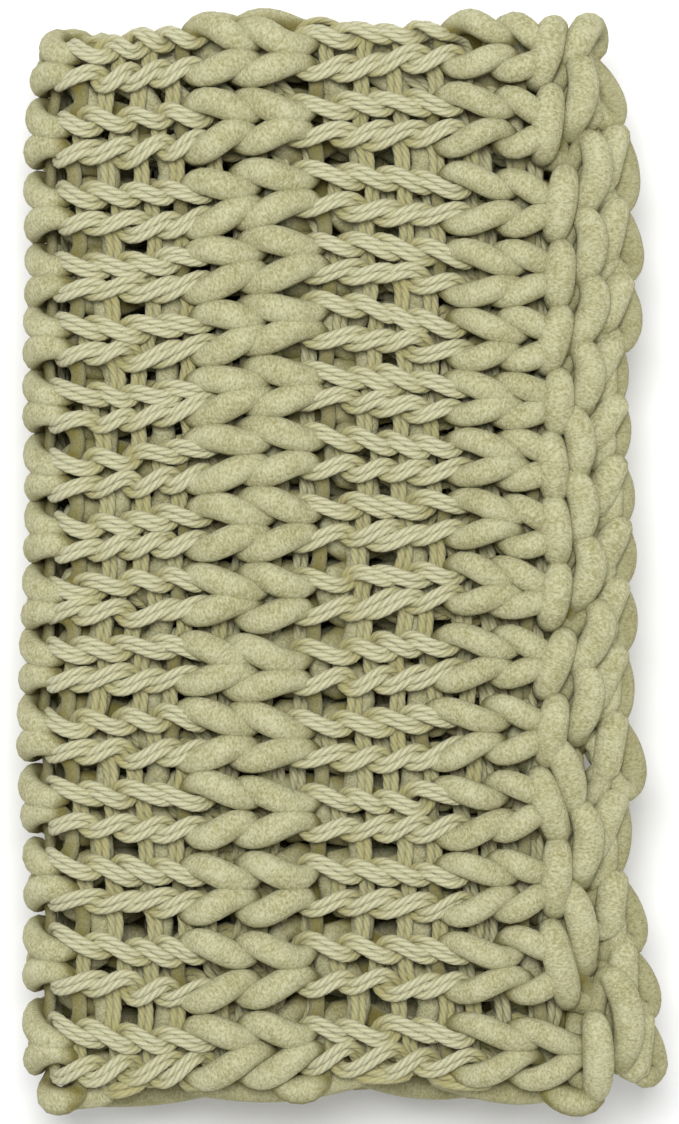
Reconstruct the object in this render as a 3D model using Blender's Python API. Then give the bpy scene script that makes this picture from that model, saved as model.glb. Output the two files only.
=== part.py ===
"""A chunky knit throw, folded in half and then in three, lying flat.

The throw is one knitted sheet. Two measures place a point in it: how far along it was knitted, from the
cast-on edge, and how far across it lies, from one selvedge. A third gives the height off the middle of
the cloth. The sheet is folded in half across, right side out, and then back and forth in three.
The face that shows carries the relief of its stitches, and the open ladders between the columns of
cord stitches are cut through. All sizes are in metres.
"""

import math

import bpy

# The folded throw, seen from above: +X to the cast-on edge, +Y to the first fold
LEAF_PITCH = 0.027
LEAF_GAP = 0.003
TOP_EDGE_X = 0.178
LEFT_SIDE_X = -0.222
RIGHT_BEND_X = 0.174
SELVEDGE_Y = -0.364

# The knitted sheet
SHEET_ALONG = 1.150
WALE_WIDTHS_MM = (57, 57, 53, 51, 51, 49.5, 46, 46, 45, 42.5, 45, 44, 49.5, 53.5, 49.5)
REPEATS = 6
CORD_COURSES = 4
FIRST_COURSE = 0.012
CHENILLE_STEP = 0.039
CHENILLE_TO_CORD = 0.037
CORD_STEP = 0.0242
CORD_TO_CHENILLE = 0.027

# How far the loops between the columns reach along the sheet
CHENILLE_BAR = 0.020
CORD_BAR = 0.012

# The chain of the cast-on edge: two strands side by side over the first courses
CHAIN_OUTER = 0.012
CHAIN_GROOVE = 0.021
CHAIN_INNER = 0.031
CHAIN_END = 0.041

# Height of the face over the middle of the cloth, in mm, at four places across half a stitch column
HALF_COLUMN = (0.0, 0.17, 0.36, 0.5)
FACE_MM = {
    ("chenille", "groove"): (-2.0, 5.5, 6.5, 1.0),
    ("chenille", "ridge"): (-2.0, 12.0, 12.5, 4.5),
    ("cord", "groove"): (-2.5, 4.0, 4.5, -1.0),
    ("cord", "ridge"): (-2.5, 8.5, 9.5, 2.0),
    ("chain", "groove"): (3.0, 6.0, 7.0, 7.0),
    ("chain", "ridge"): (4.5, 11.5, 12.5, 12.5),
}
BACK_MM = {"chenille": 12.0, "cord": 9.0, "chain": 12.0}
EDGE_ROUNDING = 0.007

# The second leaf slides past the first, and most at the selvedge corner
LEAF_SLIDE = 0.027
SLIDE_LENGTH = 0.075

# Soft unevenness of the whole pile: waves of its sides, as height and as length over two pi,
# the corner of the cast-on edge that spreads, and the rims that sink a little
SIDE_WAVES = ((0.0025, 0.085, 0.0), (0.0015, 0.037, 1.0))
END_WAVES = ((0.0025, 0.060, 2.0),)
CORNER_FLARE = 0.020
FLARE_LENGTH = 0.130
FLARE_START_X = 0.0
FLARE_WIDTH = 0.200
EDGE_DROOP = 0.012
DROOP_START_X = 0.100
DROOP_WIDTH = 0.120
END_DROOP = 0.006
DROOP_START_Y = 0.300
END_DROOP_WIDTH = 0.090
SELVEDGE_SWELL = 0.009

FABRIC_COLOUR = (0.472, 0.451, 0.265, 1.0)


def smooth(x):
    """Runs from 0 to 1 with level ends."""
    x = min(max(x, 0.0), 1.0)
    return x * x * (3.0 - 2.0 * x)


# The fold in half: the middle line of the cloth in a section across the throw

LEAF_THICKNESS = LEAF_PITCH - LEAF_GAP
WALE_WIDTHS = [width / 1000 for width in WALE_WIDTHS_MM]
HALF_ACROSS = sum(WALE_WIDTHS)
SHEET_ACROSS = 2 * HALF_ACROSS
FOLD_RADIUS = LEAF_PITCH / 2
FOLD_ARC = math.pi * FOLD_RADIUS
FLAT_ACROSS = HALF_ACROSS - FOLD_ARC / 2


def section_across(across, height):
    """The place along Y and the lift off the pile's own middle, for a point of the sheet."""
    if across < FLAT_ACROSS:
        return SELVEDGE_Y + across, FOLD_RADIUS + height
    if across > FLAT_ACROSS + FOLD_ARC:
        return SELVEDGE_Y + SHEET_ACROSS - across, -FOLD_RADIUS - height
    turn = (across - FLAT_ACROSS) / FOLD_RADIUS
    reach = FOLD_RADIUS + height
    return SELVEDGE_Y + FLAT_ACROSS + reach * math.sin(turn), reach * math.cos(turn)


# The back and forth fold: the path of the doubled sheet in a section along the throw

BEND_RADIUS = LEAF_PITCH
BEND_ARC = math.pi * BEND_RADIUS
BEND_REACH = 2 * LEAF_PITCH - LEAF_GAP / 2
LEFT_BEND_X = LEFT_SIDE_X + BEND_REACH
RIGHT_BEND_CENTRE_X = RIGHT_BEND_X - BEND_REACH
TOP_PANEL = TOP_EDGE_X - LEFT_BEND_X
MIDDLE_PANEL = RIGHT_BEND_CENTRE_X - LEFT_BEND_X
LOWEST_PANEL_Z = LEAF_PITCH - LEAF_GAP / 2
PILE_HEIGHT = 6 * LEAF_PITCH - LEAF_GAP


def section_along(along, lift):
    """The place along X and the height, for a point at this lift off the middle of the doubled sheet."""
    top_z = LOWEST_PANEL_Z + 4 * LEAF_PITCH
    if along < TOP_PANEL:
        return TOP_EDGE_X - along, top_z + lift
    along -= TOP_PANEL
    if along < BEND_ARC:
        turn = along / BEND_RADIUS
        reach = BEND_RADIUS + lift
        return LEFT_BEND_X - reach * math.sin(turn), top_z - BEND_RADIUS + reach * math.cos(turn)
    along -= BEND_ARC
    middle_z = top_z - 2 * LEAF_PITCH
    if along < MIDDLE_PANEL:
        return LEFT_BEND_X + along, middle_z - lift
    along -= MIDDLE_PANEL
    if along < BEND_ARC:
        turn = along / BEND_RADIUS
        reach = BEND_RADIUS - lift
        return RIGHT_BEND_CENTRE_X + reach * math.sin(turn), middle_z - BEND_RADIUS + reach * math.cos(turn)
    along -= BEND_ARC
    return RIGHT_BEND_CENTRE_X - along, LOWEST_PANEL_Z + lift


def slide(across):
    """How far the cloth has slid towards the cast-on edge: nothing on the first leaf, most on the second."""
    return LEAF_SLIDE * smooth((across - HALF_ACROSS) / SLIDE_LENGTH)


def waves(table, place_along):
    return sum(height * math.sin(place_along / length + start) for height, length, start in table)


def settle(x, y, z):
    """The unevenness of a pile of soft cloth. Its underside stays flat."""
    level = z / PILE_HEIGHT
    along_corner = smooth((SELVEDGE_Y + FLARE_LENGTH - y) / FLARE_LENGTH)
    flare = CORNER_FLARE * smooth((x - FLARE_START_X) / FLARE_WIDTH) * along_corner
    droop = EDGE_DROOP * smooth((x - DROOP_START_X) / DROOP_WIDTH)
    droop += END_DROOP * smooth((abs(y) - DROOP_START_Y) / END_DROOP_WIDTH)
    side = waves(SIDE_WAVES, y) + flare
    return x + level * side, y + level * waves(END_WAVES, x), z - level * level * droop


def place(along, across, height):
    """A point of the folded throw."""
    y, lift = section_across(across, height)
    x, z = section_along(along - slide(across), lift)
    return settle(x, y, z)


# The stitches: where each line of the mesh runs in the sheet

def courses():
    """The yarn, the place and the step to the next course, for each course from the cast-on edge."""
    found = []
    along = FIRST_COURSE
    for repeat in range(REPEATS + 1):
        found.append(("chenille", along, CHENILLE_STEP))
        along += CHENILLE_STEP
        found.append(("chenille", along, CHENILLE_TO_CORD))
        along += CHENILLE_TO_CORD
        if repeat == REPEATS:
            return found
        for course in range(CORD_COURSES):
            step = CORD_STEP if course < CORD_COURSES - 1 else CORD_TO_CHENILLE
            found.append(("cord", along, step))
            along += step


def rows():
    """Lines across the sheet: yarn, kind, place at the middle of a stitch, and place between two columns."""
    lines = [
        ("chain", "groove", 0.0, 0.0),
        ("chain", "ridge", CHAIN_OUTER, CHAIN_OUTER),
        ("chain", "groove", CHAIN_GROOVE, CHAIN_GROOVE),
        ("chain", "ridge", CHAIN_INNER, CHAIN_INNER),
        ("chain", "groove", CHAIN_END, CHAIN_END),
    ]
    knitted = courses()
    for number, (yarn, along, step) in enumerate(knitted[1:], start=1):
        following = knitted[number + 1][0] if number + 1 < len(knitted) else "chenille"
        bar = CHENILLE_BAR if following == "chenille" else CORD_BAR
        lines.append((yarn, "groove", along, along + step - bar / 2))
        lines.append((yarn, "ridge", along + step / 2, along + step + bar / 2))
    lines[-1] = ("chain", "ridge", SHEET_ALONG - CHAIN_OUTER, SHEET_ALONG - CHAIN_OUTER)
    lines.append(("chain", "groove", SHEET_ALONG, SHEET_ALONG))
    return lines


def columns():
    """Lines along the sheet: place across it, and the place in HALF_COLUMN that gives the height."""
    lines = []
    start = 0.0
    for width in WALE_WIDTHS + WALE_WIDTHS[::-1]:
        for index, part in enumerate(HALF_COLUMN):
            lines.append((start + part * width, index))
        for index in (2, 1):
            lines.append((start + (1 - HALF_COLUMN[index]) * width, index))
        start += width
    lines.append((start, 0))
    return lines


ROWS = rows()
COLUMNS = columns()
LAST_ROW = len(ROWS) - 1
LAST_COLUMN = len(COLUMNS) - 1
LINES_PER_WALE = 6


def at_line(row, column):
    """Where two lines of the mesh cross in the sheet."""
    yarn, kind, middle, between = ROWS[row]
    across, index = COLUMNS[column]
    slant = (0.0, 0.0, 0.5, 1.0)[index]
    return between + slant * (middle - between), across


# Which lines each face of the sheet keeps: all where the stitches show, few where they don't

BEND_MARGIN = 0.008
FOLD_MARGIN = 0.004
FACE_ALONG = TOP_PANEL + 0.65 * BEND_ARC
FACE_ACROSS = FLAT_ACROSS + 0.75 * FOLD_ARC


def near(value, low, high):
    return low <= value <= high


def in_bend(along):
    starts = (TOP_PANEL, TOP_PANEL + BEND_ARC + MIDDLE_PANEL)
    reach = BEND_ARC + LEAF_SLIDE + BEND_MARGIN
    return any(near(along, start - BEND_MARGIN, start + reach) for start in starts)


def kept(count, wanted):
    """For each line, the last kept line at or before it."""
    found, last = [], 0
    for line in range(count):
        if line in (0, count - 1) or wanted(line):
            last = line
        found.append(last)
    return found


def in_fold(across):
    return near(across, FLAT_ACROSS - FOLD_MARGIN, FLAT_ACROSS + FOLD_ARC + FOLD_MARGIN)


def plain_row(row):
    yarn, kind, middle, between = ROWS[row]
    if in_bend(middle):
        return True
    return kind == "groove" and ROWS[row - 1][0] != yarn


def plain_column(column):
    across, index = COLUMNS[column]
    return in_fold(across) or column % (2 * LINES_PER_WALE) == 0


def ladder_row(row):
    """Rows that bound the open ladders of the face."""
    return ROWS[row][2] < FACE_ALONG and "cord" in (ROWS[row][0], ROWS[row - 1][0])


def ladder_column(column):
    across, index = COLUMNS[column]
    return index == 1 and across < FLAT_ACROSS


FACE_ROWS = sum(1 for line in ROWS if line[2] < FACE_ALONG)
FACE_COLUMNS = sum(1 for line in COLUMNS if line[0] < FACE_ACROSS)

PLAIN_ROWS = kept(len(ROWS), plain_row)
PLAIN_COLUMNS = kept(len(COLUMNS), plain_column)
LADDER_ROWS = kept(len(ROWS), lambda row: plain_row(row) or ladder_row(row))
LADDER_COLUMNS = kept(len(COLUMNS), lambda column: plain_column(column) or ladder_column(column))


def shows(row, column):
    return row < FACE_ROWS and column < FACE_COLUMNS


def face_line(row, column):
    """The lines that stand for this crossing on the face side."""
    if shows(row, column):
        return row, column
    return PLAIN_ROWS[row], PLAIN_COLUMNS[column]


def back_line(row, column):
    """The lines that stand for this crossing on the back of the cloth."""
    if shows(row, column):
        return LADDER_ROWS[row], LADDER_COLUMNS[column]
    return PLAIN_ROWS[row], PLAIN_COLUMNS[column]


def open_ladder(row, column):
    """True for the cells of an opening between two columns of cord stitches."""
    if not shows(row + 1, column + 1) or COLUMNS[column + 1][0] > FLAT_ACROSS:
        return False
    between_columns = column % LINES_PER_WALE in (0, LINES_PER_WALE - 1)
    past_selvedge = column >= LINES_PER_WALE - 1
    yarn, kind = ROWS[row][:2]
    by_cord = yarn != "chain" and "cord" in (yarn, ROWS[row + 1][0])
    return between_columns and past_selvedge and kind == "ridge" and by_cord


# The solid

def face_height(row, column):
    yarn, kind = ROWS[row][:2]
    if shows(row, column):
        return FACE_MM[yarn, kind][COLUMNS[column][1]] / 1000
    return LEAF_THICKNESS / 2


def back_height(row, column):
    if shows(row, column):
        return -BACK_MM[ROWS[row][0]] / 1000
    return -LEAF_THICKNESS / 2


def edge_point(row, column):
    """A point on the rounded rim of the sheet. The selvedge swells at the chenille courses."""
    along, across = at_line(row, column)
    if row in (0, LAST_ROW):
        along += EDGE_ROUNDING * (1 if row else -1)
    if column in (0, LAST_COLUMN):
        swell = SELVEDGE_SWELL if ROWS[row][0] != "cord" else -0.3 * SELVEDGE_SWELL
        across += (EDGE_ROUNDING + swell) * (1 if column else -1)
    return place(along, across, 0.0)


class Skin:
    """Collects the vertices and faces of the solid."""

    def __init__(self):
        self.points = []
        self.index = {}
        self.faces = []

    def vertex(self, side, row, column):
        if side == "face":
            row, column = face_line(row, column)
        elif side == "back":
            row, column = back_line(row, column)
        key = (side, row, column)
        if key not in self.index:
            if side == "edge":
                point = edge_point(row, column)
            else:
                height = face_height if side == "face" else back_height
                point = place(*at_line(row, column), height(row, column))
            self.index[key] = len(self.points)
            self.points.append(point)
        return self.index[key]

    def quad(self, *corners):
        """Two triangles, split along the shorter diagonal, or one where two corners are the same."""
        ring = []
        for corner in corners:
            number = self.vertex(*corner)
            if number not in ring:
                ring.append(number)
        if len(ring) == 4:
            a, b, c, d = (self.points[number] for number in ring)
            if math.dist(a, c) <= math.dist(b, d):
                self.faces += [(ring[0], ring[1], ring[2]), (ring[0], ring[2], ring[3])]
            else:
                self.faces += [(ring[0], ring[1], ring[3]), (ring[1], ring[2], ring[3])]
        elif len(ring) == 3:
            self.faces.append(tuple(ring))


def add_sides(skin):
    """The face and the back of the sheet, with the walls of the open ladders."""
    for row in range(LAST_ROW):
        for column in range(LAST_COLUMN):
            corners = [(row, column), (row, column + 1), (row + 1, column + 1), (row + 1, column)]
            if not open_ladder(row, column):
                skin.quad(*[("face", *corner) for corner in corners])
                skin.quad(*[("back", *corner) for corner in corners[::-1]])
                continue
            beyond = [(row - 1, column), (row, column + 1), (row + 1, column), (row, column - 1)]
            for number, cell in enumerate(beyond):
                if not open_ladder(*cell):
                    here, there = corners[number], corners[(number + 1) % 4]
                    skin.quad(("face", *here), ("face", *there), ("back", *there), ("back", *here))


def add_rim(skin):
    """The rounded edge all round: cast-on, cast-off and the two selvedges."""
    start = [(0, column) for column in range(LAST_COLUMN)]
    side = [(row, LAST_COLUMN) for row in range(LAST_ROW)]
    end = [(LAST_ROW, column) for column in range(LAST_COLUMN, 0, -1)]
    back = [(row, 0) for row in range(LAST_ROW, 0, -1)]
    ring = start + side + end + back
    for here, there in zip(ring, ring[1:] + ring[:1]):
        skin.quad(("edge", *here), ("edge", *there), ("face", *there), ("face", *here))
        skin.quad(("back", *here), ("back", *there), ("edge", *there), ("edge", *here))


def centred(points):
    """The same points with the middle of their box over the origin and their lowest at the floor."""
    low = [min(point[axis] for point in points) for axis in range(3)]
    high = [max(point[axis] for point in points) for axis in range(3)]
    shift = ((low[0] + high[0]) / 2, (low[1] + high[1]) / 2, low[2])
    return [tuple(point[axis] - shift[axis] for axis in range(3)) for point in points]


def fabric():
    material = bpy.data.materials.new("sage chenille and cotton cord")
    material.use_nodes = True
    shader = material.node_tree.nodes["Principled BSDF"]
    shader.inputs["Base Color"].default_value = FABRIC_COLOUR
    shader.inputs["Roughness"].default_value = 0.9
    shader.inputs["Metallic"].default_value = 0.0
    return material


def main():
    for old in list(bpy.context.scene.objects):
        bpy.data.objects.remove(old, do_unlink=True)
    skin = Skin()
    add_sides(skin)
    add_rim(skin)
    mesh = bpy.data.meshes.new("knit_blanket")
    mesh.from_pydata(centred(skin.points), [], skin.faces)
    mesh.materials.append(fabric())
    blanket = bpy.data.objects.new("knit_blanket", mesh)
    bpy.context.scene.collection.objects.link(blanket)
    print("knit_blanket:", len(mesh.polygons), "triangles")


main()
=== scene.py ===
# %% [markdown]
# # A chunky knit throw, folded on a table
# This throw is knitted on needles as thick as a thumb, from two yarns: a velvety chenille, and a
# pair of twisted cords held together. It has been folded in half and then back and forth in three.
# The lesson builds it the way it was made. Every stitch is a real loop of yarn that passes through
# its neighbours, and the folded pile comes from bending the whole knitted sheet at once. First the
# frame is loaded, which holds the plain solid of the throw that the yarn will replace.

# %% The fixed frame
import math

import bpy
import numpy as np
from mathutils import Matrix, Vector


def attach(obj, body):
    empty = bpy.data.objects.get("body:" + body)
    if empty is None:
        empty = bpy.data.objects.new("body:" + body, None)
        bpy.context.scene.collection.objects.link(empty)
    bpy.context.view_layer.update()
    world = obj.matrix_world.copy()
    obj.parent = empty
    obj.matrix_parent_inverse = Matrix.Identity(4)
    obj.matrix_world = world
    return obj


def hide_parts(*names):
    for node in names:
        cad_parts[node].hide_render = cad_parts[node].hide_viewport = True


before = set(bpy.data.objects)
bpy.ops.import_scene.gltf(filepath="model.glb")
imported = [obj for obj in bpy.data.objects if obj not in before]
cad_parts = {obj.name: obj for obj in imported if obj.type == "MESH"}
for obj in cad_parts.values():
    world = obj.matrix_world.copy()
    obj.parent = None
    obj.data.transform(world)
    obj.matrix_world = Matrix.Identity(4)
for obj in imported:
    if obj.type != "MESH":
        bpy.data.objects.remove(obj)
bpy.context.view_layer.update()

# %% [markdown]
# ## The folded sheet
# A point of the knitted cloth has three measures: how far along it was knitted from the cast-on
# edge, how far across it lies from one selvedge, and its height off the middle of the cloth. The
# throw could be modelled as it lies, stitch by stitch, but the bends would then be hard to get
# right. So the stitches are made in the flat sheet, and two short functions bend it: one folds it
# in half across, the other lays it back and forth along. A leaf is one thickness of knitting. The
# fold in half makes an upper leaf and a lower one, and the three panels stack six leaves.

# %% Sizes of the sheet and its folds
LEAF_PITCH = 0.027
LEAF_GAP = 0.003
TOP_EDGE_X = 0.178
LEFT_SIDE_X = -0.220
RIGHT_BEND_X = 0.174
SELVEDGE_Y = -0.364
SHEET_ALONG = 1.150
WALE_WIDTHS_MM = (57, 57, 53, 51, 51, 49.5, 46, 46, 45, 42.5, 45, 44, 49.5, 53.5, 49.5)

WALE_WIDTHS = np.array(WALE_WIDTHS_MM + WALE_WIDTHS_MM[::-1]) / 1000
WALE_STARTS = np.concatenate([[0.0], np.cumsum(WALE_WIDTHS)])
WALES = len(WALE_WIDTHS)
SHEET_ACROSS = WALE_STARTS[-1]
FOLD_RADIUS = LEAF_PITCH / 2
FOLD_ARC = math.pi * FOLD_RADIUS
FLAT_ACROSS = SHEET_ACROSS / 2 - FOLD_ARC / 2
BEND_RADIUS = LEAF_PITCH
BEND_ARC = math.pi * BEND_RADIUS
BEND_REACH = 2 * LEAF_PITCH - LEAF_GAP / 2
LEFT_BEND_X = LEFT_SIDE_X + BEND_REACH
TOP_PANEL = TOP_EDGE_X - LEFT_BEND_X
MIDDLE_PANEL = RIGHT_BEND_X - BEND_REACH - LEFT_BEND_X
RIGHT_BEND_ALONG = TOP_PANEL + BEND_ARC + MIDDLE_PANEL
LOWEST_PANEL_Z = LEAF_PITCH - LEAF_GAP / 2
PILE_HEIGHT = 6 * LEAF_PITCH - LEAF_GAP
print(f"sheet {SHEET_ACROSS:.3f} x {SHEET_ALONG:.3f} m, {WALES} columns of stitches")


# %% Folding in half, and back and forth
def smooth(x):
    """Runs from 0 to 1 with level ends."""
    x = np.clip(x, 0.0, 1.0)
    return x * x * (3.0 - 2.0 * x)


def section_across(across, height):
    """The place along Y and the lift off the middle of the doubled sheet."""
    turn = np.clip((across - FLAT_ACROSS) / FOLD_RADIUS, 0.0, math.pi)
    beyond = np.maximum(across - FLAT_ACROSS - FOLD_ARC, 0.0)
    reach = FOLD_RADIUS + height
    y = SELVEDGE_Y + np.minimum(across, FLAT_ACROSS) + reach * np.sin(turn) - beyond
    return y, reach * np.cos(turn)


def section_along(along, lift):
    """The place along X and the height, for points at this lift off the doubled sheet."""
    left = np.clip((along - TOP_PANEL) / BEND_RADIUS, 0.0, math.pi)
    right = np.clip((along - RIGHT_BEND_ALONG) / BEND_RADIUS, 0.0, math.pi)
    middle = np.clip(along - TOP_PANEL - BEND_ARC, 0.0, MIDDLE_PANEL)
    bottom = np.maximum(along - RIGHT_BEND_ALONG - BEND_ARC, 0.0)
    outer, inner = BEND_RADIUS + lift, BEND_RADIUS - lift
    top = np.minimum(along, TOP_PANEL)
    x = TOP_EDGE_X - top - outer * np.sin(left) + middle + inner * np.sin(right) - bottom
    z = LOWEST_PANEL_Z + 3 * LEAF_PITCH + outer * np.cos(left) + inner * np.cos(right) - inner
    return x, z


print("cast-off edge ends at x =", np.round(section_along(SHEET_ALONG, 0.0)[0], 3))

# %% [markdown]
# ## A soft pile
# Real cloth never stacks square. The sides wave a little, one corner of the cast-on edge spreads,
# another is drawn in, and the free edges sink. A cloth simulation could do that, but not for
# thousands of loops. A smooth shift of every point does it here. It grows from nothing at the
# floor, so the underside stays flat and no layer is pushed through another. The two leaves also
# slide on each other: round a bend the outer one has the longer way, so it lags behind, and the
# lower one sticks out at the cast-on edge.

# %% The unevenness of the pile
SIDE_WAVES = ((0.0025, 0.085, 0.0), (0.0015, 0.037, 1.0))
END_WAVES = ((0.0025, 0.060, 2.0),)
CORNER_FLARE = 0.027
FLARE_LENGTH = 0.150
FLARE_WIDTH = 0.200
CORNER_PULL = (0.015, 0.008)
PULL_START = (0.150, 0.270)
PULL_WIDTH = 0.110
EDGE_DROOP = 0.012
DROOP_START_X = 0.100
DROOP_WIDTH = 0.120
END_DROOP = 0.006
DROOP_START_Y = 0.300
END_DROOP_WIDTH = 0.090
PILE_MIDDLE = (0.00023, -0.00064)


def waves(table, place_along):
    return sum(height * np.sin(place_along / length + start) for height, length, start in table)


def settle(x, y, z):
    """The unevenness of a pile of soft cloth, and the shift that centres it over the origin."""
    level = np.maximum(z, 0.0) / PILE_HEIGHT
    near_end = smooth((SELVEDGE_Y + FLARE_LENGTH - y) / FLARE_LENGTH)
    flare = CORNER_FLARE * smooth(x / FLARE_WIDTH) * near_end
    drawn_in = smooth((-x - PULL_START[0]) / PULL_WIDTH + 0.5)
    drawn_in = drawn_in * smooth((y - PULL_START[1]) / PULL_WIDTH)
    droop = EDGE_DROOP * smooth((x - DROOP_START_X) / DROOP_WIDTH)
    droop = droop + END_DROOP * smooth((np.abs(y) - DROOP_START_Y) / END_DROOP_WIDTH)
    x_new = x + level * (waves(SIDE_WAVES, y) + flare + CORNER_PULL[0] * drawn_in) - PILE_MIDDLE[0]
    y_new = y + level * (waves(END_WAVES, x) - CORNER_PULL[1] * drawn_in) - PILE_MIDDLE[1]
    return np.stack([x_new, y_new, z - level * level * droop], axis=-1)


print("the free edge sinks by", EDGE_DROOP, "m, the corner spreads by", CORNER_FLARE, "m")

# %% How the sheet strays and its leaves slide
COLUMN_WAVES = ((0.0045, 0.060, 0.110), (0.0025, 0.031, 0.070))
COLUMN_SWAY = 1.5
CORNER_LENGTH = 0.150
UPPER_CORNER = 0.012
LOWER_CORNER = 0.024
SLIDE_LENGTH = 0.075
LEAF_SLIDE = 0.027
LEAF_DRIFT = 0.038
LEAF_DRIFT_LENGTH = 0.165
LEAF_HUG = 0.0075


def strayed(along, across):
    """The columns of stitches do not run quite straight, and the two cast-on corners lie unevenly."""
    for height, length, width in COLUMN_WAVES:
        across = across + height * np.sin(along / length + COLUMN_SWAY * np.sin(across / width))
    at_cast_on = 1 - smooth(along / CORNER_LENGTH)
    near_first = 1 - smooth(across / CORNER_LENGTH)
    near_last = smooth((across - SHEET_ACROSS) / CORNER_LENGTH + 1)
    return across - at_cast_on * (UPPER_CORNER * near_first + LOWER_CORNER * near_last)


def slid(along, under, on_top):
    """Where along the doubled sheet a point ends up, after its leaf has slid on the other."""
    along = along - under * (LEAF_SLIDE + LEAF_DRIFT * on_top * smooth(along / LEAF_DRIFT_LENGTH))
    lag = (1 - 2 * under) * BEND_ARC / 2
    along = along - lag * np.clip((along - TOP_PANEL) / (BEND_ARC + lag), 0.0, 1.0)
    return along + lag * np.clip((along - RIGHT_BEND_ALONG) / (BEND_ARC - lag), 0.0, 1.0)


def place(along, across, height):
    """Points of the folded throw, from their measures in the flat sheet."""
    across = strayed(along, across)
    under = smooth((across - SHEET_ACROSS / 2) / SLIDE_LENGTH)
    on_top = 1 - smooth((along - LEAF_SLIDE - LEAF_DRIFT - TOP_PANEL) / BEND_ARC)
    y, lift = section_across(across, height - LEAF_HUG * under * on_top)
    x, z = section_along(slid(along, under, on_top), lift)
    return settle(x, y, z)


def cloth_normals(along, across, height, step=0.001):
    """The way the cloth faces at each point."""
    way = place(along, across, height + step) - place(along, across, height - step)
    return way / np.linalg.norm(way, axis=1, keepdims=True)


print("a corner of the cast-on edge:", np.round(place(0.0, 0.0, 0.0), 3).tolist())

# %% [markdown]
# ## The stitches
# In plain knitting each stitch is a loop with two legs. The legs show on the face as a V, the head
# passes behind the next stitch, and the foot runs behind to the neighbouring column. Single loops
# could be copied side by side, but then every stitch would be the same and the yarn would be cut at
# each. One sine formula gives the whole path of a course instead, and random drifts make its
# stitches differ. Thick chenille courses come in twos and cord courses in fours, and a stitch
# reaches well past the next course, because the next loop is pulled through it.

# %% Courses from the cast-on edge to the cast-off edge
REPEATS = 6
CORD_COURSES = 4
FIRST_COURSE = 0.012
STEPS = {"chenille": 0.039, "chenille to cord": 0.037, "cord": 0.0242, "cord to chenille": 0.027}
STITCH_OVERLAP = {"chenille": 1.63, "cord": 1.82}
FIRST_COURSE_PUSH = 0.009
CAST_OFF_STEPS = (0.028, 0.022)


def courses():
    """The yarn, the place and the step to the next, for each course from the cast-on edge."""
    kinds = ["chenille", "chenille to cord"] + ["cord"] * (CORD_COURSES - 1) + ["cord to chenille"]
    kinds = kinds * REPEATS + kinds[:2]
    found, along = [], FIRST_COURSE
    for kind in kinds:
        found.append([kind.split()[0], along, STEPS[kind]])
        along += STEPS[kind]
    found[0][1] += FIRST_COURSE_PUSH
    found[0][2] -= FIRST_COURSE_PUSH / STITCH_OVERLAP["chenille"]
    found[-2][2], found[-1][2] = CAST_OFF_STEPS
    found[-1][1] = found[-2][1] + CAST_OFF_STEPS[0]
    return found


COURSES = courses()
print(len(COURSES), "courses,", len(COURSES) * WALES, "stitches")

# %% The path of one course
USUAL_WALE = 0.050
SPREAD = {"chenille": 0.0108, "cord": 0.0098}
SHIFT = {"chenille": 0.0016, "cord": 0.0023}
DEPTH = {"chenille": 0.0088, "cord": 0.0060}
ALONG_PLAY = {"chenille": 0.0050, "cord": 0.0055}
ACROSS_PLAY = {"chenille": 0.0028, "cord": 0.0034}
HEIGHT_PLAY = 0.0012
COURSE_WAVE = 0.0030
ACROSS_SEED, ALONG_SEED, HEIGHT_SEED, COURSE_SEED = 100, 200, 300, 400
CHAIN_PRESS = 0.006
CHAIN_PRESS_AT = 0.031
CHAIN_PRESS_WIDTH = 0.013
SELVEDGE_TUCK = 0.008
SELVEDGE_TUCK_WALES = 0.3


def wander(places, seed, amplitude):
    """A smooth random drift with a new random value at each whole number."""
    values = np.random.default_rng(seed).uniform(-amplitude, amplitude, 8 * WALES + 9)
    low = np.floor(places).astype(int)
    return values[low] + (values[low + 1] - values[low]) * smooth(places - low)


def stitch_path(course, wales):
    """The middle line of a course's yarn in the flat sheet, at these places counted in columns."""
    yarn, start, step = COURSES[course]
    column = np.clip(np.floor(wales).astype(int), 0, WALES - 1)
    turn = 2 * math.pi * (wales - column)
    width = WALE_WIDTHS[column]
    edge = np.minimum(wales, WALES - wales)
    tuck = SELVEDGE_TUCK * (1 - smooth(edge / SELVEDGE_TUCK_WALES)) * np.where(wales < WALES / 2, 1, -1)
    across = WALE_STARTS[column] + width * (wales - column) + tuck
    bow = SPREAD[yarn] * np.sin(2 * turn) + SHIFT[yarn] * np.sin(turn)
    across = across + width / USUAL_WALE * bow
    across = across + wander(4 * wales, ACROSS_SEED + course, ACROSS_PLAY[yarn])
    along = start + STITCH_OVERLAP[yarn] * step * (1 - np.cos(turn)) / 2
    along = along + wander(2 * wales, ALONG_SEED + course, ALONG_PLAY[yarn])
    along = along + wander(wales / 2, COURSE_SEED + course // 2, COURSE_WAVE)
    height = -DEPTH[yarn] * np.cos(2 * turn)
    height = height + wander(2 * wales, HEIGHT_SEED + course, HEIGHT_PLAY)
    off_chain = np.minimum(along, SHEET_ALONG - along) - CHAIN_PRESS_AT
    height = height - CHAIN_PRESS * np.exp(-((off_chain / CHAIN_PRESS_WIDTH) ** 2))
    return along, across, height


print("a chenille stitch is", round(STITCH_OVERLAP["chenille"] * STEPS["chenille"] * 1000), "mm long")

# %% [markdown]
# ## Rows that go out and come back
# A knitter works one course out and the next one back, so two courses are one length of yarn with a
# turn at the selvedge. Keeping such a pair as one path gives the looped selvedge of the real throw.
# Chenille squeezes thin where a stitch pulls it through another, so the path also says how full the
# yarn is. At the other selvedge the chenille isn't cut when the cords take over. It is carried
# along the edge to its next two courses, in a loose arc that shows beside the pile.

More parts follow.
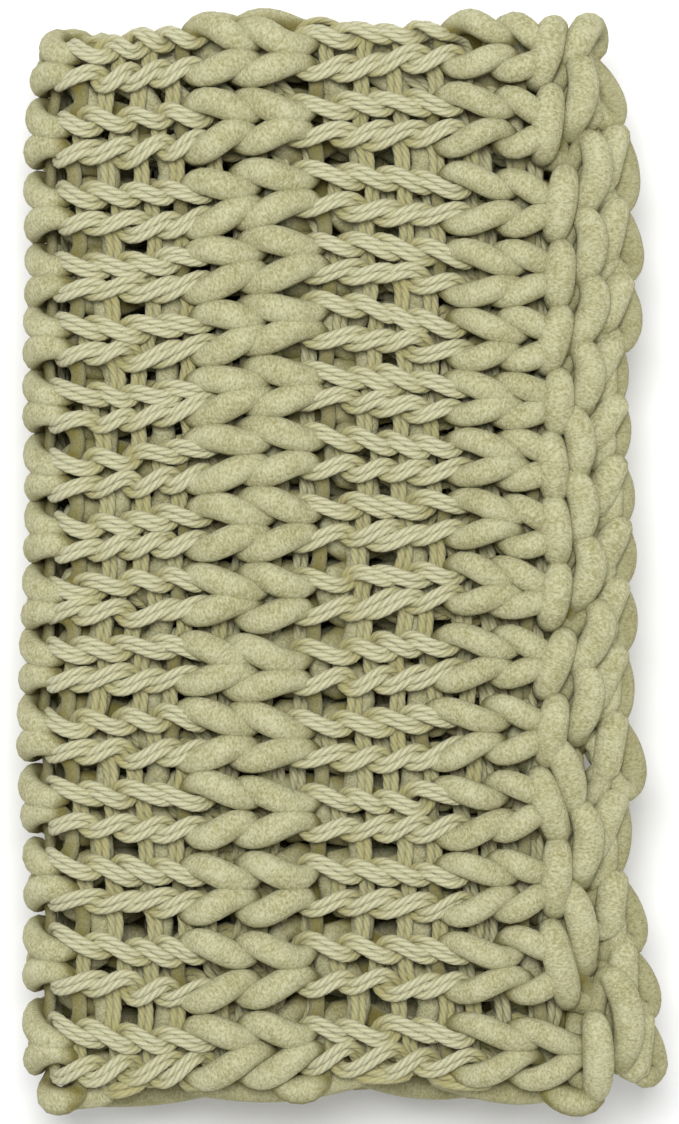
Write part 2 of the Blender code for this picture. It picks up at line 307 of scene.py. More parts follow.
# %% Paths of yarn through the sheet
SAMPLES = 40
TURN_SAMPLES = 24
TURN_BULGE = {"chenille": 0.0120, "cord": 0.0020}
UPPER_THIN_SHARE = 0.50
LOWER_THIN_SHARE = 0.80
SWELL_POWER = 1.7
FIRST_FULLNESS = 0.90
CARRY_SAMPLES = 40
CARRY_BULGE = 0.015
CARRY_FULLNESS = 0.88
FOLD_WALE = WALES / 2
LAST_PLACE = WALES - 1e-6


def fullness_at(course, wales):
    """How full the yarn is: chenille swells along each leg and is thin where it passes behind."""
    if COURSES[course][0] == "cord":
        return np.ones_like(wales)
    thin = np.where(wales < FOLD_WALE, UPPER_THIN_SHARE, LOWER_THIN_SHARE)
    full = thin + (1 - thin) * np.abs(np.sin(2 * math.pi * wales)) ** SWELL_POWER
    return full * (FIRST_FULLNESS if course == 0 else 1.0)


def selvedge_turn(course):
    """The yarn's turn round the first selvedge, from a course to the next, and its fullness there."""
    yarn = COURSES[course][0]
    ends = [stitch_path(each, np.array([0.0])) for each in (course, course + 1)]
    share = np.linspace(0.0, 1.0, TURN_SAMPLES)[1:-1]
    mix = (1 - np.cos(math.pi * share)) / 2
    out = np.sin(math.pi * share)
    along, across, height = (ends[0][i] + (ends[1][i] - ends[0][i]) * mix for i in range(3))
    across, height = across - TURN_BULGE[yarn] * out, height + DEPTH[yarn] * out
    thin = 1.0 if yarn == "cord" else UPPER_THIN_SHARE
    return along, across, height, thin + (1 - thin) * out


def out_and_back(course, low, high):
    """The pair of courses from this one on, between two columns, with its turn if it reaches the selvedge."""
    wales = np.minimum(np.linspace(low, high, int((high - low) * SAMPLES) + 1), LAST_PLACE)
    parts = [(*stitch_path(course, wales[::-1]), fullness_at(course, wales[::-1]))]
    if low == 0:
        parts.append(selvedge_turn(course))
    parts.append((*stitch_path(course + 1, wales), fullness_at(course, wales)))
    return [np.concatenate([part[i] for part in parts]) for i in range(4)]


def carried(course, next_course):
    """The yarn's loose way along the last selvedge, from the end of a course to a later one."""
    ends = [stitch_path(each, np.array([float(WALES)])) for each in (course, next_course)]
    share = np.linspace(0.0, 1.0, CARRY_SAMPLES)
    out = np.sin(math.pi * share)
    along, across, height = (ends[0][i] + (ends[1][i] - ends[0][i]) * share for i in range(3))
    return along, across + CARRY_BULGE * out, height * (1 - out), np.full(CARRY_SAMPLES, CARRY_FULLNESS)


def path_lengths(points):
    """How far along the path each point is."""
    return np.concatenate([[0.0], np.cumsum(np.linalg.norm(np.diff(points, axis=0), axis=1))])


first_pair = place(*out_and_back(0, 0, WALES)[:3])
print(f"the first pair of courses takes {path_lengths(first_pair)[-1]:.2f} m of yarn")

# %% [markdown]
# ## From a path to yarn
# A Geometry Nodes tree turns a path into yarn: it makes the path a curve, sweeps a round section
# along it, cuts the spiral grooves of a twisted cord into it, and presses the section flatter where
# the pile's weight squashes it. A curve with a bevel could be swept too, but it can't be grooved or
# pressed. Nodes suit this, because the same tree, with other sizes, makes every strand. It also
# leaves two attributes for the materials: the place on the yarn, and the level within the knit,
# from hidden to the crest, which sets how much painted shade the yarn gets between the loops.

# %% Adding nodes
def add_node(tree, kind, settings=None, links=None):
    """Adds a node. Each input gets a value, or a link from a socket or from a node's first output."""
    node = tree.nodes.new(kind)
    for name, value in (settings or {}).items():
        setattr(node, name, value)
    for name, value in (links or {}).items():
        value = value.outputs[0] if isinstance(value, bpy.types.Node) else value
        if isinstance(value, bpy.types.NodeSocket):
            tree.links.new(value, node.inputs[name])
        else:
            node.inputs[name].default_value = value
    return node


def groove_between_plies(tree, yarn_place, lay, plies):
    """Runs from 0 on the crest of a ply to 1 in the groove between two, turning once round in a lay."""
    part = add_node(tree, "ShaderNodeSeparateXYZ", links={0: yarn_place}).outputs
    angle = add_node(tree, "ShaderNodeMath", {"operation": "ARCTAN2"}, {0: part[1], 1: part[0]})
    turns = add_node(tree, "ShaderNodeMath", {"operation": "DIVIDE"}, {0: part[2], 1: lay})
    links = {0: turns, 1: 2 * math.pi, 2: angle}
    turned = add_node(tree, "ShaderNodeMath", {"operation": "MULTIPLY_ADD"}, links)
    phase = add_node(tree, "ShaderNodeMath", {"operation": "MULTIPLY"}, {0: turned, 1: plies})
    wave = add_node(tree, "ShaderNodeMath", {"operation": "COSINE"}, {0: phase})
    return add_node(tree, "ShaderNodeMath", {"operation": "MULTIPLY_ADD"}, {0: wave, 1: 0.5, 2: 0.5})


print("helpers: add_node, groove_between_plies")

# %% The yarn tree, first half: a curve and its round section
YARN_TREE = bpy.data.node_groups.new("yarn along a path", "GeometryNodeTree")
YARN_TREE.interface.new_socket("Path", in_out="INPUT", socket_type="NodeSocketGeometry")
for size in ("Radius", "Groove", "Lay", "Least level"):
    YARN_TREE.interface.new_socket(size, in_out="INPUT", socket_type="NodeSocketFloat")
for count in ("Sides", "Plies"):
    YARN_TREE.interface.new_socket(count, in_out="INPUT", socket_type="NodeSocketInt")
YARN_TREE.interface.new_socket("Material", in_out="INPUT", socket_type="NodeSocketMaterial")
YARN_TREE.interface.new_socket("Yarn", in_out="OUTPUT", socket_type="NodeSocketGeometry")

PATH_NUMBERS = ("squash", "fullness", "cloth_height", "along_yarn")
NUMBER_ON_POINTS = {"data_type": "FLOAT", "domain": "POINT"}
VECTOR_ON_POINTS = {"data_type": "FLOAT_VECTOR", "domain": "POINT"}
given = YARN_TREE.nodes.new("NodeGroupInput").outputs
position = YARN_TREE.nodes.new("GeometryNodeInputPosition")
kept = {}
for data_type, names in (("FLOAT", PATH_NUMBERS), ("FLOAT_VECTOR", ("cloth_normal", "middle", "ring"))):
    for name in names:
        reading = {"data_type": data_type}
        kept[name] = add_node(YARN_TREE, "GeometryNodeInputNamedAttribute", reading, {"Name": name})

curve = add_node(YARN_TREE, "GeometryNodeMeshToCurve", links={"Mesh": given["Path"]})
curve = add_node(
    YARN_TREE,
    "GeometryNodeStoreNamedAttribute",
    VECTOR_ON_POINTS,
    {"Geometry": curve, "Name": "middle", "Value": position},
)
share = add_node(YARN_TREE, "GeometryNodeSplineParameter").outputs["Factor"]
turn = add_node(YARN_TREE, "ShaderNodeMath", {"operation": "MULTIPLY"}, {0: share, 1: 2 * math.pi})
cosine = add_node(YARN_TREE, "ShaderNodeMath", {"operation": "COSINE"}, {0: turn})
sine = add_node(YARN_TREE, "ShaderNodeMath", {"operation": "SINE"}, {0: turn})
facing = add_node(YARN_TREE, "ShaderNodeCombineXYZ", links={0: cosine, 1: sine})
circle = add_node(
    YARN_TREE,
    "GeometryNodeCurvePrimitiveCircle",
    links={"Resolution": given["Sides"], "Radius": given["Radius"]},
)
circle = add_node(
    YARN_TREE,
    "GeometryNodeStoreNamedAttribute",
    VECTOR_ON_POINTS,
    {"Geometry": circle, "Name": "ring", "Value": facing},
)
tube = add_node(
    YARN_TREE,
    "GeometryNodeCurveToMesh",
    links={"Curve": curve, "Profile Curve": circle, "Scale": kept["fullness"], "Fill Caps": True},
)
print("nodes so far:", len(YARN_TREE.nodes))

# %% The yarn tree, second half: grooves, squash, level for the painted shade, and finish
CREST = 0.018
BACK_LEVEL = -0.75
CREASE_SHARPNESS = 2.0

ring = add_node(YARN_TREE, "ShaderNodeSeparateXYZ", links={0: kept["ring"]}).outputs
on_yarn = {0: ring[0], 1: ring[1], 2: kept["along_yarn"]}
yarn_place = add_node(YARN_TREE, "ShaderNodeCombineXYZ", links=on_yarn)
groove = groove_between_plies(YARN_TREE, yarn_place, given["Lay"], given["Plies"])
groove = add_node(YARN_TREE, "ShaderNodeMath", {"operation": "POWER"}, {0: groove, 1: CREASE_SHARPNESS})
dip = add_node(YARN_TREE, "ShaderNodeMath", {"operation": "MULTIPLY"}, {0: groove, 1: given["Groove"]})
reach = add_node(YARN_TREE, "ShaderNodeMath", {"operation": "SUBTRACT"}, {0: 1.0, 1: dip})
middle, normal = kept["middle"], kept["cloth_normal"]
out = add_node(YARN_TREE, "ShaderNodeVectorMath", {"operation": "SUBTRACT"}, {0: position, 1: middle})
out = add_node(YARN_TREE, "ShaderNodeVectorMath", {"operation": "SCALE"}, {0: out, "Scale": reach})

height = add_node(YARN_TREE, "ShaderNodeVectorMath", {"operation": "DOT_PRODUCT"}, {0: out, 1: normal})
height = height.outputs["Value"]
lost = add_node(YARN_TREE, "ShaderNodeMath", {"operation": "SUBTRACT"}, {0: 1.0, 1: kept["squash"]})
lost = add_node(YARN_TREE, "ShaderNodeMath", {"operation": "MULTIPLY"}, {0: height, 1: lost})
down = add_node(YARN_TREE, "ShaderNodeVectorMath", {"operation": "SCALE"}, {0: normal, "Scale": lost})
out = add_node(YARN_TREE, "ShaderNodeVectorMath", {"operation": "SUBTRACT"}, {0: out, 1: down})
final = add_node(YARN_TREE, "ShaderNodeVectorMath", {"operation": "ADD"}, {0: middle, 1: out})

# The level runs from the middle of the cloth up to its crest. The materials darken yarn with a low level, a
# painted shade between the loops. The back of the cloth counts as partly open, so it gets less.
rise = add_node(YARN_TREE, "ShaderNodeMath", {"operation": "SUBTRACT"}, {0: height, 1: lost})
rise = add_node(YARN_TREE, "ShaderNodeMath", {"operation": "ADD"}, {0: kept["cloth_height"], 1: rise})
level = add_node(YARN_TREE, "ShaderNodeMath", {"operation": "DIVIDE"}, {0: rise, 1: CREST})
under = add_node(YARN_TREE, "ShaderNodeMath", {"operation": "MULTIPLY"}, {0: level, 1: BACK_LEVEL})
level = add_node(YARN_TREE, "ShaderNodeMath", {"operation": "MAXIMUM"}, {0: level, 1: under})
# The least level keeps yarn that lies in the open from the full painted shade.
links = {0: level, 1: given["Least level"]}
level = add_node(YARN_TREE, "ShaderNodeMath", {"operation": "MAXIMUM"}, links)

links = {"Geometry": tube, "Name": "level", "Value": level}
tube = add_node(YARN_TREE, "GeometryNodeStoreNamedAttribute", NUMBER_ON_POINTS, links)
links = {"Geometry": tube, "Name": "yarn_place", "Value": yarn_place}
tube = add_node(YARN_TREE, "GeometryNodeStoreNamedAttribute", VECTOR_ON_POINTS, links)
tube = add_node(YARN_TREE, "GeometryNodeSetPosition", links={"Geometry": tube, "Position": final})
tube = add_node(YARN_TREE, "GeometryNodeSetShadeSmooth", links={"Geometry": tube})
tube = add_node(YARN_TREE, "GeometryNodeRealizeInstances", links={"Geometry": tube})
links = {"Geometry": tube, "Material": given["Material"]}
tube = add_node(YARN_TREE, "GeometryNodeSetMaterial", links=links)
add_node(YARN_TREE, "NodeGroupOutput", links={"Yarn": tube})
print("nodes in the whole tree:", len(YARN_TREE.nodes))

# %% [markdown]
# ## Laying strands and baking them
# The sheet's folds are plain arithmetic, so a strand's points are placed with numpy. They are set
# at even steps, with what the tree needs to know at each: the cloth's normal, the squash, the
# fullness, the height in the cloth and the run along the yarn. Many strands share one mesh, and the
# tree's result is baked to a plain mesh, because the exported model can't carry a modifier.

# %% Laying a strand
TOP_LAYER_ALONG = TOP_PANEL + 0.7 * BEND_ARC
PRESSED_FROM = TOP_PANEL + 0.25 * BEND_ARC
PRESSED_OVER = 0.5 * BEND_ARC
LOWER_SQUASH = 0.73
PAIR_ROLL = 0.6
ROLLS_PER_WALE = 7.9
END_LEAST = 0.1


def squash_at(along, across):
    """How flat the section is: round on the layer that shows, pressed in the others."""
    below = smooth((along - PRESSED_FROM) / PRESSED_OVER)
    under = smooth((across - FLAT_ACROSS) / FOLD_ARC)
    return 1.0 - (1.0 - LOWER_SQUASH) * np.maximum(below, under)


def beside(points, normals, offset, seed):
    """The path of one strand of a pair, which rolls a little round the pair's middle line."""
    side = np.cross(np.gradient(points, axis=0), normals)
    side = side / np.linalg.norm(side, axis=1, keepdims=True)
    roll = wander(np.linspace(0, ROLLS_PER_WALE * WALES, len(points)), seed, PAIR_ROLL)[:, None]
    return points + offset * (np.cos(roll) * side + np.sin(roll) * normals)


def strand(measures, step, thickness, offset=0.0, seed=0):
    """A strand in even steps, rounded at its ends: points, cloth normals and other numbers."""
    along, across, height, fullness = measures
    squash = squash_at(along, across)
    height = height * squash
    points = place(along, across, height)
    normals = cloth_normals(along, across, height)
    points[:, 2] = np.maximum(points[:, 2], thickness * fullness * squash)
    if offset:
        points = beside(points, normals, offset, seed)
    run = path_lengths(points)
    places = np.arange(0.0, run[-1], step)
    columns = np.column_stack([points, normals, squash, fullness, height])
    columns = np.column_stack([np.interp(places, run, column) for column in columns.T])
    points, normals, squash, fullness, height = np.split(columns, (3, 6, 7, 8), axis=1)
    to_end = np.clip(np.minimum(places, places[-1] - places) / thickness, END_LEAST, 1.0)
    fullness = fullness[:, 0] * np.sqrt(1 - (1 - to_end) ** 2)
    return points, normals, np.column_stack([squash, fullness, height, places])


print("the top layer reaches", round(TOP_LAYER_ALONG, 3), "m along the sheet")


# %% Sweeping the strands
def path_mesh(name, strands):
    """One mesh of bare edges along all strands, with the numbers that the yarn tree reads."""
    mesh = bpy.data.meshes.new(name)
    points, normals, numbers = (np.concatenate([strand[i] for strand in strands]) for i in range(3))
    last = np.cumsum([len(strand[0]) for strand in strands]) - 1
    starts = np.setdiff1d(np.arange(len(points)), last)
    mesh.from_pydata(points.tolist(), np.column_stack([starts, starts + 1]).tolist(), [])
    facing = mesh.attributes.new("cloth_normal", "FLOAT_VECTOR", "POINT")
    facing.data.foreach_set("vector", normals.ravel())
    for index, label in enumerate(PATH_NUMBERS):
        mesh.attributes.new(label, "FLOAT", "POINT").data.foreach_set("value", numbers[:, index].copy())
    return mesh


def add_yarn(name, strands, sizes):
    """Sweeps yarn along each strand with the yarn tree, and bakes all of it into one plain mesh."""
    mesh = path_mesh(name + "_paths", strands)
    piece = bpy.data.objects.new(name, mesh)
    bpy.context.scene.collection.objects.link(piece)
    modifier = piece.modifiers.new("yarn", "NODES")
    modifier.node_group = YARN_TREE
    for socket in YARN_TREE.interface.items_tree:
        if socket.name in sizes:
            modifier[socket.identifier] = sizes[socket.name]
    swept = piece.evaluated_get(bpy.context.evaluated_depsgraph_get())
    piece.data = bpy.data.meshes.new_from_object(swept)
    piece.data.name = name
    piece.modifiers.remove(modifier)
    bpy.data.meshes.remove(mesh)
    triangles = sum(len(face.vertices) - 2 for face in piece.data.polygons)
    print(f"{name}: {len(strands)} strands, {triangles} triangles")
    return piece


print("numbers carried along a path:", PATH_NUMBERS)

# %% [markdown]
# ## The chenille
# Chenille yarn is a core with a dense brush of cut polyester pile round it, so it looks matt and
# velvety, with a fine grain of lighter tips and darker gaps that runs in rings round the yarn. It
# could be covered with thousands of hairs, but at this distance the grain is all that shows. So it
# is noise in the yarn's own coordinates, in colour and bump. Between the loops the colour is turned
# to a deeper olive with the level within the knit: painted shade, for the shade deep in the knit.

# %% Colours and shared parts of the materials
# Painted shade: yarn below the first level takes its full painted shade colour, above the second its own
# colour.
FULL_PAINTED_SHADE_LEVEL = -0.12
NO_PAINTED_SHADE_LEVEL = 0.50


def linear(code):
    """A colour written as sRGB hex, as the renderer counts it."""
    values = [int(code[i : i + 2], 16) / 255 for i in (1, 3, 5)]
    return (*[v / 12.92 if v <= 0.04045 else ((v + 0.055) / 1.055) ** 2.4 for v in values], 1.0)


def new_material(name, shine):
    """A material with these numbers set on its shader's own sockets."""
    material = bpy.data.materials.new(name)
    material.use_nodes = True
    shader = material.node_tree.nodes["Principled BSDF"]
    for socket, value in shine.items():
        shader.inputs[socket].default_value = value
    return material, material.node_tree, shader


def colour_between(tree, amount, dark, light):
    """A colour that runs from dark to light between two amounts, each given as (amount, colour)."""
    ramp = add_node(tree, "ShaderNodeValToRGB", links={"Fac": amount})
    for element, (at, code) in zip(ramp.color_ramp.elements, (dark, light)):
        element.position = at
        element.color = linear(code)
    return ramp


def painted_shade_by_level(tree, colour, painted_shade_colour):
    """The colour, darkened towards a painted shade colour low between the loops, where shade falls."""
    level = add_node(tree, "ShaderNodeAttribute", {"attribute_name": "level"}).outputs["Fac"]
    unshaded_share = add_node(
        tree,
        "ShaderNodeMapRange",
        {"interpolation_type": "SMOOTHSTEP"},
        {"Value": level, "From Min": FULL_PAINTED_SHADE_LEVEL, "From Max": NO_PAINTED_SHADE_LEVEL},
    )
    links = {0: unshaded_share, 6: linear(painted_shade_colour), 7: colour.outputs["Color"]}
    return add_node(tree, "ShaderNodeMix", {"data_type": "RGBA"}, links).outputs[2]


print("a mid yarn colour in linear light:", np.round(linear("#BAB68F")[:3], 3).tolist())

# %% Cut-pile polyester chenille
CHENILLE_RADIUS = 0.0103
# A real tuft of pile is 0.2 to 0.5 mm across, which is under a pixel, so its grain is drawn coarser.
PILE_RING = 0.0012
PILE_TUFT = 0.0026
LUMP_SIZE = 0.017
PILE_BUMP = 0.0021
LUMP_BUMP = 0.0016
LUMP_SHARE = 0.22


def chenille_material():
    """Matt pile without gloss and with a faint sheen. Its grain gives the velvety look."""
    shine = {"Roughness": 0.95, "Specular IOR Level": 0.1, "Sheen Weight": 0.15, "Sheen Roughness": 0.5}
    shine["Sheen Tint"] = linear("#DDE0C4")
    material, tree, shader = new_material("cut-pile polyester chenille", shine)
    yarn_place = add_node(tree, "ShaderNodeAttribute", {"attribute_name": "yarn_place"})
    yarn_place = yarn_place.outputs["Vector"]
    scale = (CHENILLE_RADIUS / PILE_TUFT, CHENILLE_RADIUS / PILE_TUFT, 1 / PILE_RING)
    in_pile = add_node(tree, "ShaderNodeMapping", links={"Vector": yarn_place, "Scale": scale})
    grain = {"Vector": in_pile, "Scale": 1.0, "Detail": 4.0, "Roughness": 0.68}
    pile = add_node(tree, "ShaderNodeTexNoise", links=grain)
    in_object = add_node(tree, "ShaderNodeTexCoord").outputs["Object"]
    grain = {"Vector": in_object, "Scale": 1 / LUMP_SIZE, "Detail": 2.0}
    lumps = add_node(tree, "ShaderNodeTexNoise", links=grain)
    both = add_node(tree, "ShaderNodeMix", links={0: LUMP_SHARE, 2: pile, 3: lumps})
    colour = colour_between(tree, both, (0.37, "#989264"), (0.60, "#C7C5A1"))
    # Low between the loops the chenille turns to a deep olive: painted shade.
    tree.links.new(painted_shade_by_level(tree, colour, "#6E6316"), shader.inputs["Base Color"])
    lump_height = add_node(tree, "ShaderNodeMath", {"operation": "MULTIPLY"}, {0: lumps, 1: LUMP_BUMP})
    links = {0: pile, 1: PILE_BUMP, 2: lump_height}
    height = add_node(tree, "ShaderNodeMath", {"operation": "MULTIPLY_ADD"}, links)
    bump = add_node(tree, "ShaderNodeBump", links={"Height": height, "Strength": 0.8, "Distance": 1.0})
    tree.links.new(bump.outputs[0], shader.inputs["Normal"])
    return material


CHENILLE = chenille_material()
CHENILLE_SIZES = {"Radius": CHENILLE_RADIUS, "Sides": 12, "Plies": 1, "Lay": 1.0, "Least level": -1.0}
CHENILLE_SIZES["Material"] = CHENILLE
print("chenille is", round(CHENILLE_RADIUS * 2000, 1), "mm thick")

# %% [markdown]
# ## The chenille rows
# Each pair of chenille courses is one tube that follows the stitches. It keeps its round section on
# top of the pile and is pressed flatter in the lower layers. The top layer is what the eye sees, so
# its steps are fine, and the hidden layers take coarser ones.

# %% Chenille courses
FINE_STEP = 0.0056
COARSE_STEP = 0.0120
TOP_ENDS = FOLD_WALE + 0.6
BELOW_STARTS = FOLD_WALE + 0.5

PAIRS = range(0, len(COURSES), 2)
chenille_strands = []
chenille_pairs = [pair for pair in PAIRS if COURSES[pair][0] == "chenille"]
for course in chenille_pairs:
    below_starts = 0
    if COURSES[course][1] < TOP_LAYER_ALONG:
        chenille_strands.append(strand(out_and_back(course, 0, TOP_ENDS), FINE_STEP, CHENILLE_RADIUS))
        below_starts = BELOW_STARTS
    measures = out_and_back(course, below_starts, WALES)
    chenille_strands.append(strand(measures, COARSE_STEP, CHENILLE_RADIUS))
chenille_rows = add_yarn("chenille_rows", chenille_strands, CHENILLE_SIZES)

# %% Chenille carried along the selvedge
# It lies in the open, so its painted shade is kept light: no part of it takes the full painted shade of yarn
# between the loops.
EDGE_LEAST_SHADE_LEVEL = 0.30
EDGE_SIZES = CHENILLE_SIZES | {"Least level": EDGE_LEAST_SHADE_LEVEL}

carried_strands = [
    strand(carried(course + 1, next_course), FINE_STEP, CHENILLE_RADIUS)
    for course, next_course in zip(chenille_pairs[:-1], chenille_pairs[1:])
]
carried_chenille = add_yarn("carried_chenille", carried_strands, EDGE_SIZES)

# %% [markdown]
# ## The cords
# The cord is cotton, twisted from plies, so it is smoother and paler than the chenille, and the
# grooves between its plies are darkened in spiral lines, a painted shade. Two cords are held together
# and knitted as one, so each cord course is two strands side by side. On top of the pile the plies
# are cut into the mesh. Below it the strands are plain tubes of fewer sides, and the same spiral is
# left to the material.

# %% Twisted cotton cord
CORD_RADIUS = 0.0032
CORD_APART = 0.0027
CORD_LAY = 0.030
CORD_PLIES = 4
# Spun fibres are 0.02 mm thick and show only as a mottle, which is drawn at about a pixel's size.
FIBRE_LENGTH = 0.0007
FIBRE_WIDTH = 0.0005
FIBRE_BUMP = 0.0005
GROOVE_BUMP = -0.0012
# The grooves between the plies are darkened in colour: painted shade.
GROOVE_PAINTED_SHADE = -0.34
LINE_SHARPNESS = 3.0


def cord_material():
    """Soft spun fibre, a little less matt than pile. The lines between its plies, darkened in colour as
    painted shade in the grooves, read as rope.
    """
    shine = {"Roughness": 0.85, "Specular IOR Level": 0.2, "Sheen Weight": 0.2, "Sheen Roughness": 0.5}
    material, tree, shader = new_material("twisted cotton cord", shine)
    yarn_place = add_node(tree, "ShaderNodeAttribute", {"attribute_name": "yarn_place"})
    yarn_place = yarn_place.outputs["Vector"]
    groove = groove_between_plies(tree, yarn_place, CORD_LAY, CORD_PLIES)
    groove = add_node(tree, "ShaderNodeMath", {"operation": "POWER"}, {0: groove, 1: LINE_SHARPNESS})
    scale = (CORD_RADIUS / FIBRE_WIDTH, CORD_RADIUS / FIBRE_WIDTH, 1 / FIBRE_LENGTH)
    in_fibre = add_node(tree, "ShaderNodeMapping", links={"Vector": yarn_place, "Scale": scale})
    grain = {"Vector": in_fibre, "Scale": 1.0, "Detail": 2.0}
    fibres = add_node(tree, "ShaderNodeTexNoise", links=grain)
    links = {0: groove, 1: GROOVE_PAINTED_SHADE, 2: fibres}
    fibres_and_painted_groove_shade = add_node(tree, "ShaderNodeMath", {"operation": "MULTIPLY_ADD"}, links)
    colour = colour_between(tree, fibres_and_painted_groove_shade, (0.10, "#9E9B77"), (0.55, "#C3C1A0"))
    # Low between the loops the cord turns to a darker colour: painted shade.
    tree.links.new(painted_shade_by_level(tree, colour, "#A19A64"), shader.inputs["Base Color"])
    links = {0: fibres, 1: FIBRE_BUMP}
    fibre_height = add_node(tree, "ShaderNodeMath", {"operation": "MULTIPLY"}, links)
    links = {0: groove, 1: GROOVE_BUMP, 2: fibre_height}
    height = add_node(tree, "ShaderNodeMath", {"operation": "MULTIPLY_ADD"}, links)
    bump = add_node(tree, "ShaderNodeBump", links={"Height": height, "Strength": 0.5, "Distance": 1.0})
    tree.links.new(bump.outputs[0], shader.inputs["Normal"])
    return material


CORD = cord_material()
HIDDEN_CORD_SIZES = {"Radius": CORD_RADIUS, "Sides": 6, "Plies": 1, "Lay": CORD_LAY, "Groove": 0.0}
HIDDEN_CORD_SIZES |= {"Least level": -1.0, "Material": CORD}
TOP_CORD_SIZES = HIDDEN_CORD_SIZES | {"Sides": 12, "Plies": CORD_PLIES, "Groove": 0.18}
print("two cords side by side are", round((CORD_RADIUS + CORD_APART) * 2000, 1), "mm wide")

# %% Cord courses
CORD_FINE_STEP = 0.0029
CORD_COARSE_STEP = 0.0066
CORD_SEED = 50


def cord_pair(course, low, high, step):
    """The two strands of a pair of cord courses."""
    measures = out_and_back(course, low, high)
    room = CORD_RADIUS + CORD_APART
    return [strand(measures, step, room, side * CORD_APART, CORD_SEED + course) for side in (-1, 1)]


top_cords, hidden_cords = [], []
for number, course in enumerate((pair for pair in PAIRS if COURSES[pair][0] == "cord"), start=1):
    below_starts = 0
    if COURSES[course][1] < TOP_LAYER_ALONG:
        strands = cord_pair(course, 0, TOP_ENDS, CORD_FINE_STEP)
        top_cords.append(add_yarn(f"cord_rows_{number:02d}_top", strands, TOP_CORD_SIZES))
        below_starts = BELOW_STARTS
    strands = cord_pair(course, below_starts, WALES, CORD_COARSE_STEP)
    hidden_cords.append(add_yarn(f"cord_rows_{number:02d}_below", strands, HIDDEN_CORD_SIZES))

# %% [markdown]
# ## The edge chains
# Casting on and casting off leave a chain of chenille along the edge, one link for each column. A
# link is a loop too: one leg lies straight over the first stitches, the other bows out past the
# edge, and a short strand runs behind them to the next link. No simple formula gives that, so one
# link is a short table of points read off the way a real chain runs. It is repeated with a random
# lean and slip, and rounded.

# %% One link, and a chain of them
LINK = (
    # place off the edge in mm, place along the chain in columns, height in mm, fullness
    (31, 0.10, -9.0, 0.74),
    (31, 0.12, -3.0, 0.84),
    (31, 0.21, 3.5, 0.96),
    (31, 0.36, 7.5, 1.04),
    (31, 0.54, 9.0, 1.06),
    (31, 0.70, 8.5, 1.03),
    (31, 0.82, 5.5, 0.96),
    (31, 0.89, 0.0, 0.86),
    (30, 0.92, -6.0, 0.74),
    (26, 1.12, -7.5, 0.60),
    (21, 1.34, -6.0, 0.74),
    (17, 1.36, -1.0, 0.88),
    (13, 1.27, 3.5, 0.98),
    (10, 1.10, 5.5, 1.03),
    (10, 0.86, 5.5, 1.03),
    (12, 0.68, 3.5, 0.98),
    (14, 0.55, -2.0, 0.92),
    (14, 0.48, -9.0, 0.94),
    (17, 0.56, -15.0, 1.00),
    (23, 0.80, -17.0, 1.03),
    (29, 1.04, -15.0, 0.96),
)
END_PLACES_MM = (46, 40)
END_HEIGHT_MM = -2
END_FULLNESS = 0.6
END_INSIDE = 0.3
LINK_SAMPLES = 6
CHAIN_SEED = 5
CHAIN_LEAN = 0.18
CHAIN_SLIP = (2.6, 0.03)
CHAIN_SLIP_MOST = 4.5
SLACK_LINKS = {4: -7.0, 5: -4.0, 0: -6.0}
CAST_OFF_INSET = 0.019
CAST_OFF_CALM = 0.4
END_TUCK = 0.45


def rounded(points, samples):
    """A smooth path through the points (Catmull-Rom)."""
    before, here, after, beyond = points[:-3], points[1:-2], points[2:-1], points[3:]
    found = []
    for share in np.arange(samples) / samples:
        cubic = 3 * here - before - 3 * after + beyond
        square = 2 * before - 5 * here + 4 * after - beyond
        found.append((2 * here + (after - before) * share + square * share**2 + cubic * share**3) / 2)
    return np.stack(found, axis=1).reshape(-1, points.shape[1])


def chain_path(cast_off):
    """The yarn of a whole edge chain, in the measures of the flat sheet."""
    table = np.array(LINK)
    drawn = np.random.default_rng(CHAIN_SEED + cast_off)
    calm = CAST_OFF_CALM if cast_off else 1.0
    links = []
    for link in range(WALES):
        lean = calm * drawn.normal(0.0, CHAIN_LEAN) * (table[:, 1] - 0.5) * USUAL_WALE * 1000
        slip = calm * np.clip(drawn.normal(0.0, CHAIN_SLIP), -CHAIN_SLIP_MOST, CHAIN_SLIP_MOST)
        slack = 0.0 if cast_off else SLACK_LINKS.get(link, 0.0)
        links.append(table + [slip[0] + slack, link + slip[1], 0, 0])
        links[-1][:, 0] += lean
    start = np.array([[off, END_INSIDE, END_HEIGHT_MM, END_FULLNESS] for off in END_PLACES_MM])
    end = start[::-1] + [0, WALES - 2 * END_INSIDE, 0, 0]
    path = rounded(np.concatenate([start, *links, end]), LINK_SAMPLES)
    wales = np.clip(path[:, 1], 0, WALES)
    past_selvedge = (path[:, 1] - wales) * USUAL_WALE * END_TUCK
    across = np.interp(wales, np.arange(WALES + 1), WALE_STARTS) + past_selvedge
    off_edge = path[:, 0] / 1000
    along = SHEET_ALONG - CAST_OFF_INSET - off_edge if cast_off else off_edge
    return along, across, path[:, 2] / 1000, path[:, 3]


print("links in a chain:", WALES)

# %% The two chains
CHAIN_RADIUS = 0.0106
CHAIN_STEP = 0.0032
CHAIN_SIZES = EDGE_SIZES | {"Radius": CHAIN_RADIUS}

chains = [
    add_yarn(name, [strand(chain_path(cast_off), CHAIN_STEP, CHAIN_RADIUS)], CHAIN_SIZES)
    for name, cast_off in (("cast_on_chain", False), ("cast_off_chain", True))
]

# %% [markdown]
# ## Telling the frame what is what
# The yarn replaces the plain solid: every piece of yarn is attached to the root body, and the solid
# is hidden.

# %% Declaring the pieces
others = [*top_cords, *hidden_cords, carried_chenille, *chains]
for piece in (chenille_rows, *others):
    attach(piece, "root")
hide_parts("knit_blanket")
print("pieces:", 1 + len(others))

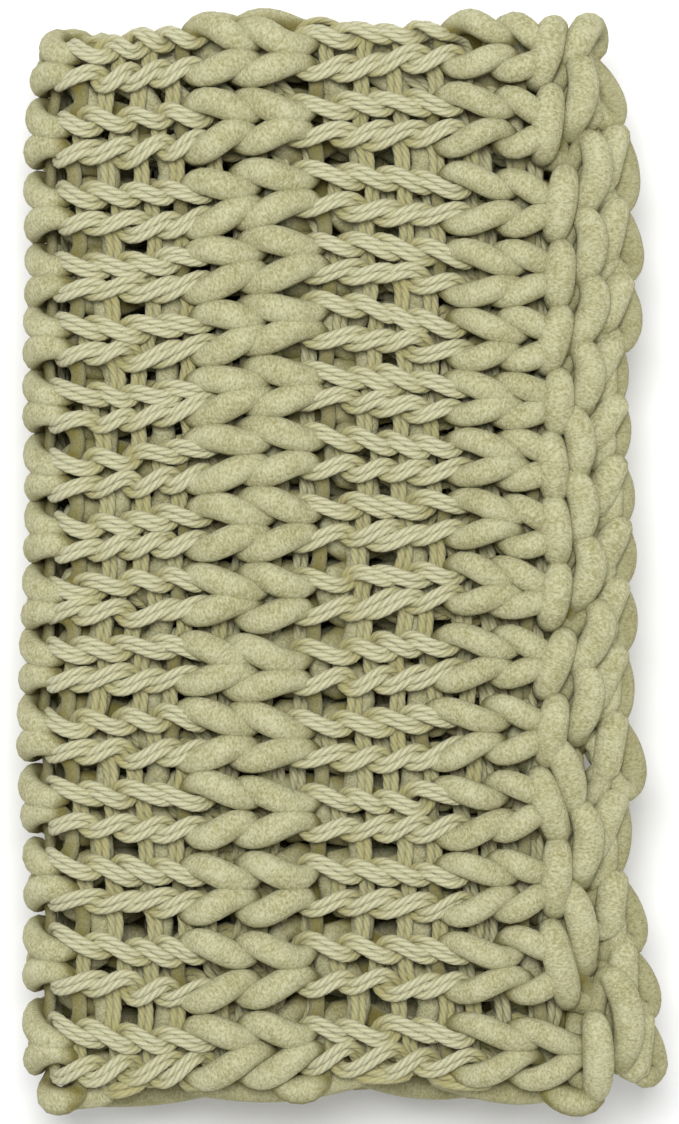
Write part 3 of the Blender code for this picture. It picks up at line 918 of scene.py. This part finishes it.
# %% [markdown]
# ## Floor, light and camera
# The photograph looks straight down on the throw, on white, in soft light that comes from the
# camera's side and a little from the top. A wide disk near the camera gives that, and a pale
# surrounding light opens the shadows. A long lens keeps the sides of the pile out of sight.

# %% Floor
FLOOR_SIZE = 40.0
FLOOR_GAP = 0.0005

bpy.ops.mesh.primitive_plane_add(size=FLOOR_SIZE, location=(0, 0, -FLOOR_GAP))
floor = bpy.context.active_object
floor.name = "floor"
paper = new_material("white studio paper", {"Roughness": 0.9, "Base Color": linear("#F6F6F6")})[0]
floor.data.materials.append(paper)
print("floor:", tuple(round(side) for side in floor.dimensions))

# %% Light
LAMP_AT = (-0.15, 0.95, 4.3)
LAMP_WIDTH = 1.6
LAMP_POWER = 148.0
SURROUNDING = 0.62

lamp = bpy.data.lights.new("soft box beside the camera", "AREA")
lamp.shape = "DISK"
lamp.size = LAMP_WIDTH
lamp.energy = LAMP_POWER
holder = bpy.data.objects.new(lamp.name, lamp)
holder.location = LAMP_AT
holder.rotation_mode = "QUATERNION"
holder.rotation_quaternion = (-Vector(LAMP_AT)).to_track_quat("-Z", "Y")
bpy.context.scene.collection.objects.link(holder)

studio = bpy.data.worlds.new("studio")
studio.use_nodes = True
studio.node_tree.nodes["Background"].inputs["Color"].default_value = (1.0, 1.0, 1.0, 1.0)
studio.node_tree.nodes["Background"].inputs["Strength"].default_value = SURROUNDING
bpy.context.scene.world = studio
bpy.context.scene.view_settings.view_transform = "Standard"
print("lamp", lamp.energy, "W, surrounding light", SURROUNDING)

# %% Camera
PIXEL = 0.000686
PHOTO_HIGH = 1124
CAMERA_ABOVE = 3.2
SENSOR = 36.0

camera_data = bpy.data.cameras.new("camera")
camera_data.sensor_width = SENSOR
camera_data.lens = SENSOR * CAMERA_ABOVE / (PHOTO_HIGH * PIXEL)
camera = bpy.data.objects.new("camera", camera_data)
camera.location = (0.0, 0.0, PILE_HEIGHT + CAMERA_ABOVE)
bpy.context.scene.collection.objects.link(camera)
bpy.context.scene.camera = camera
print("camera lens:", round(camera_data.lens, 1), "mm")
